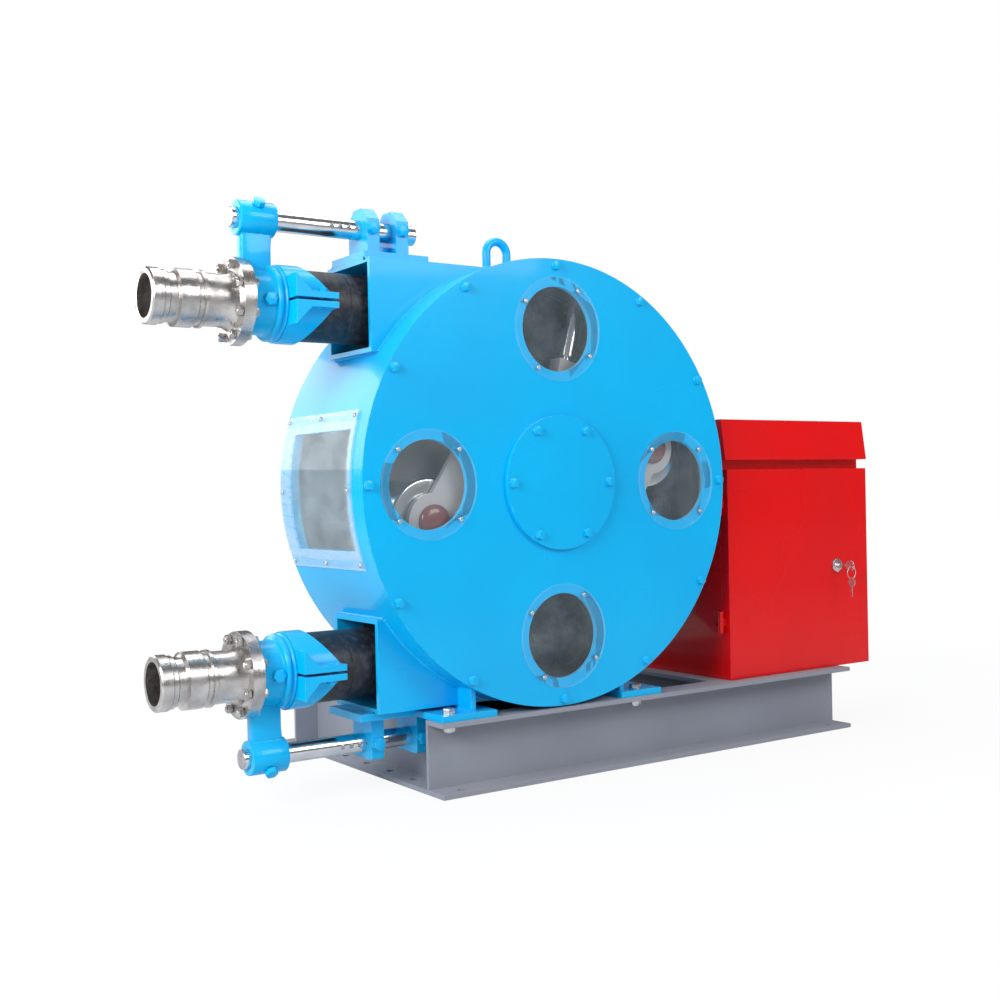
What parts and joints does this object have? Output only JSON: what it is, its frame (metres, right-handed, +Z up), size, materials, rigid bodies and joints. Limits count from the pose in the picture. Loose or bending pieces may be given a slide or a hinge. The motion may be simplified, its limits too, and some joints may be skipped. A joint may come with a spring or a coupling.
{
  "type": "peristaltic pump",
  "caption": "Industrial squeeze-hose pump: round casing with sight windows, roller rotor, side hose ports with tensioned couplings, worm-geared motor, channel base and control cabinet.",
  "frame": {"origin": "middle of the base frame's footprint, on its underside", "axes": "+X to the right from the hose ports towards the control cabinet, +Y backwards from the front cover along the rotor shaft, +Z up"},
  "size_m": [1.945, 0.816, 1.2635],
  "materials": {
    "base_grey": "semi-gloss enamel",
    "casing_blue": "gloss enamel",
    "cabinet_red": "gloss powder coat",
    "drive_paint": "gloss enamel",
    "rotor_cream": "satin primer",
    "stainless": "brushed stainless steel",
    "polished_steel": "ground and polished steel",
    "zinc_steel": "zinc plated",
    "machined_steel": "turned steel",
    "bronze": "cast bronze",
    "red_oxide": "red oxide primer",
    "hose_rubber": "wrapped black rubber",
    "bed_rubber": "moulded rubber",
    "clear_sheet": "clear polycarbonate",
    "fan_plastic": "moulded",
    "control_gear": "moulded housings on a zinc plate"
  },
  "bodies": {
    "root": {"base_front_channel": "base_grey", "base_rear_channel": "base_grey", "base_end_channels": "base_grey", "base_cross_channels": "base_grey", "casing_shell": "casing_blue", "casing_back_plate": "casing_blue", "outlet_port_box": "casing_blue", "inlet_port_box": "casing_blue", "casing_feet": "casing_blue", "foot_bolts": "zinc_steel", "front_cover": "casing_blue", "cover_bolts": "casing_blue", "center_cover": "casing_blue", "sight_windows": "clear_sheet", "window_screws": "zinc_steel", "side_window_pane": "clear_sheet", "lifting_eye": "casing_blue", "hose_bed": "bed_rubber", "hose": "hose_rubber", "bearing_housing": "drive_paint", "shaft_bearings": "machined_steel", "gearbox_housing": "drive_paint", "motor_body": "drive_paint", "motor_fan_cover": "drive_paint", "cabinet_body": "cabinet_red", "cabinet_hood": "cabinet_red", "cabinet_panel": "control_gear", "outlet_rod_bracket": "casing_blue", "inlet_rod_bracket": "casing_blue", "bracket_lock_bolts": "casing_blue"},
    "rotor": {"main_shaft": "machined_steel", "rotor_hub": "rotor_cream", "rotor_plates": "rotor_cream", "roller_axles": "machined_steel", "axle_caps": "red_oxide", "guide_brackets": "rotor_cream", "worm_wheel": "bronze"},
    "press_roller_a": {"press_roller_a": "polished_steel"},
    "press_roller_b": {"press_roller_b": "polished_steel"},
    "guide_roller_1": {"guide_roller_1": "polished_steel"},
    "guide_roller_2": {"guide_roller_2": "polished_steel"},
    "guide_roller_3": {"guide_roller_3": "polished_steel"},
    "guide_roller_4": {"guide_roller_4": "polished_steel"},
    "motor_rotor": {"worm_shaft": "machined_steel", "motor_fan": "fan_plastic"},
    "door": {"cabinet_door": "cabinet_red", "door_lock": "zinc_steel"},
    "key": {"lock_key": "zinc_steel"},
    "outlet_carriage": {"outlet_tension_rod": "polished_steel", "outlet_coupling": "casing_blue", "outlet_hose_clamp": "casing_blue", "outlet_fittings": "stainless", "outlet_flange_bolts": "stainless", "outlet_clamp_bolts": "casing_blue"},
    "inlet_carriage": {"inlet_tension_rod": "polished_steel", "inlet_coupling": "casing_blue", "inlet_hose_clamp": "casing_blue", "inlet_fittings": "stainless", "inlet_flange_bolts": "stainless", "inlet_clamp_bolts": "casing_blue"}
  },
  "joints": [
    {"name": "rotor_spin", "type": "hinge", "parent": "root", "child": "rotor", "pos_m": [-0.31, -0.21402, 0.6635], "axis": [0, 1, 0], "continuous": true, "deforming": ["hose"]},
    {"name": "press_roller_a_spin", "type": "hinge", "parent": "rotor", "child": "press_roller_a", "pos_m": [-0.00213, -0.21402, 0.74312], "axis": [0, 1, 0], "continuous": true, "deforming": ["hose"]},
    {"name": "press_roller_b_spin", "type": "hinge", "parent": "rotor", "child": "press_roller_b", "pos_m": [-0.61787, -0.21402, 0.58388], "axis": [0, 1, 0], "continuous": true, "deforming": ["hose"]},
    {"name": "guide_roller_1_spin", "type": "hinge", "parent": "rotor", "child": "guide_roller_1", "pos_m": [-0.21045, -0.31402, 1.02245], "axis": [0.2672, 0, 0.9636], "continuous": true, "deforming": ["hose"]},
    {"name": "guide_roller_2_spin", "type": "hinge", "parent": "rotor", "child": "guide_roller_2", "pos_m": [-0.21045, -0.11402, 1.02245], "axis": [0.2672, 0, 0.9636], "continuous": true, "deforming": ["hose"]},
    {"name": "guide_roller_3_spin", "type": "hinge", "parent": "rotor", "child": "guide_roller_3", "pos_m": [-0.40955, -0.31402, 0.30455], "axis": [-0.2672, 0, -0.9636], "continuous": true, "deforming": ["hose"]},
    {"name": "guide_roller_4_spin", "type": "hinge", "parent": "rotor", "child": "guide_roller_4", "pos_m": [-0.40955, -0.11402, 0.30455], "axis": [-0.2672, 0, -0.9636], "continuous": true, "deforming": ["hose"]},
    {"name": "motor_spin", "type": "hinge", "parent": "root", "child": "motor_rotor", "pos_m": [-0.31, 0.14596, 0.5035], "axis": [1, 0, 0], "continuous": true},
    {"name": "door_hinge", "type": "hinge", "parent": "root", "child": "door", "pos_m": [0.226, -0.337, 0.4235], "axis": [0, 0, -1], "range_deg": [0, 95]},
    {"name": "key_turn", "type": "hinge", "parent": "door", "child": "key", "pos_m": [0.63, -0.359, 0.43], "axis": [0, 1, 0], "range_deg": [0, 90]},
    {"name": "outlet_tension", "type": "slide", "parent": "root", "child": "outlet_carriage", "axis": [-1, 0, 0], "range_m": [0, 0.03], "deforming": ["hose"]},
    {"name": "inlet_tension", "type": "slide", "parent": "root", "child": "inlet_carriage", "axis": [-1, 0, 0], "range_m": [0, 0.03], "deforming": ["hose"]}
  ],
  "couplings": [
    {"joint": "press_roller_a_spin", "follows": "rotor_spin", "ratio": -4.3474},
    {"joint": "press_roller_b_spin", "follows": "rotor_spin", "ratio": -4.3474},
    {"joint": "guide_roller_1_spin", "follows": "rotor_spin", "ratio": -15.917},
    {"joint": "guide_roller_2_spin", "follows": "rotor_spin", "ratio": 15.917},
    {"joint": "guide_roller_3_spin", "follows": "rotor_spin", "ratio": -15.917},
    {"joint": "guide_roller_4_spin", "follows": "rotor_spin", "ratio": 15.917},
    {"joint": "motor_spin", "follows": "rotor_spin", "ratio": 40}
  ]
}
